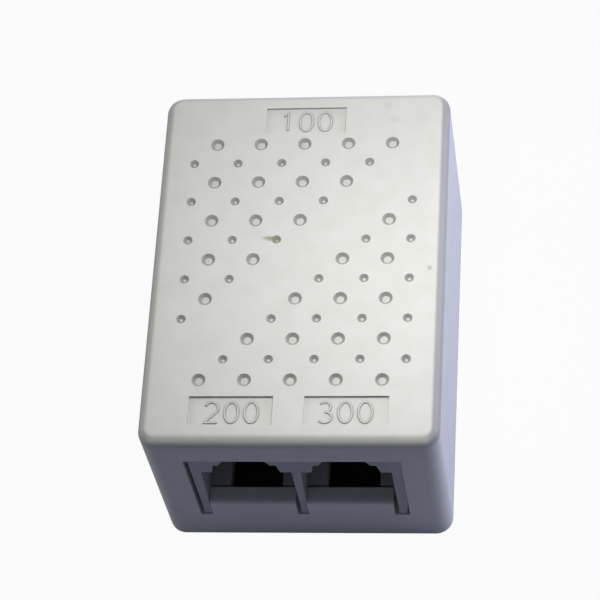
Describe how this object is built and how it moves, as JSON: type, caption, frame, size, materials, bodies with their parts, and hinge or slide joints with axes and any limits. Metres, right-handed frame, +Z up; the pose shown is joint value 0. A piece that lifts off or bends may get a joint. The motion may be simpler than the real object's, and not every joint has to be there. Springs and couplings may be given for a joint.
{
  "type": "dsl splitter",
  "caption": "Small plastic box with a dimpled top, keyed telephone sockets in both ends and a low-pass filter inside, for splitting a phone line.",
  "frame": {"origin": "centre of the flat underside of the case", "axes": "+Z up through the dimpled roof, +Y towards the end with the single line socket, the twin sockets face -Y, +X to their right as seen from the front"},
  "size_m": [0.0332, 0.0452, 0.0245],
  "materials": {
    "case_plastic": "satin moulded plastic",
    "socket_plastic": "satin moulded plastic",
    "carrier_plastic": "matt moulded plastic",
    "contact_gold": "gold plated",
    "screw_steel": "zinc plated",
    "board_laminate": "green solder mask",
    "core_ferrite": "sintered ferrite",
    "bobbin_plastic": "moulded plastic",
    "winding_copper": "enamelled wire",
    "tinned_metal": "tinned",
    "capacitor_film": "yellow potted box",
    "resistor_lacquer": "lacquered",
    "arrester_ceramic": "glazed tube"
  },
  "bodies": {
    "root": {"top_cover": "case_plastic", "base_cover": "case_plastic", "base_screws": "screw_steel", "twin_port_block": "socket_plastic", "line_port_block": "socket_plastic", "phone_contact_carrier": "carrier_plastic", "dsl_contact_carrier": "carrier_plastic", "line_contact_carrier": "carrier_plastic", "circuit_board": "board_laminate", "phone_capacitor": "capacitor_film", "series_capacitor": "capacitor_film", "line_capacitor": "capacitor_film", "inner_resistor": "resistor_lacquer", "outer_resistor": "resistor_lacquer", "arrester_tube": "arrester_ceramic", "arrester_front_cap": "tinned_metal", "arrester_rear_cap": "tinned_metal", "phone_contact_1": "contact_gold", "phone_contact_2": "contact_gold", "phone_contact_3": "contact_gold", "phone_contact_4": "contact_gold", "dsl_contact_1": "contact_gold", "dsl_contact_2": "contact_gold", "dsl_contact_3": "contact_gold", "dsl_contact_4": "contact_gold", "line_contact_1": "contact_gold", "line_contact_2": "contact_gold", "line_contact_3": "contact_gold", "line_contact_4": "contact_gold", "left_choke_front_core": "core_ferrite", "left_choke_rear_core": "core_ferrite", "left_choke_bobbin": "bobbin_plastic", "left_choke_winding": "winding_copper", "left_choke_pins": "tinned_metal", "right_choke_front_core": "core_ferrite", "right_choke_rear_core": "core_ferrite", "right_choke_bobbin": "bobbin_plastic", "right_choke_winding": "winding_copper", "right_choke_pins": "tinned_metal"}
  },
  "joints": []
}
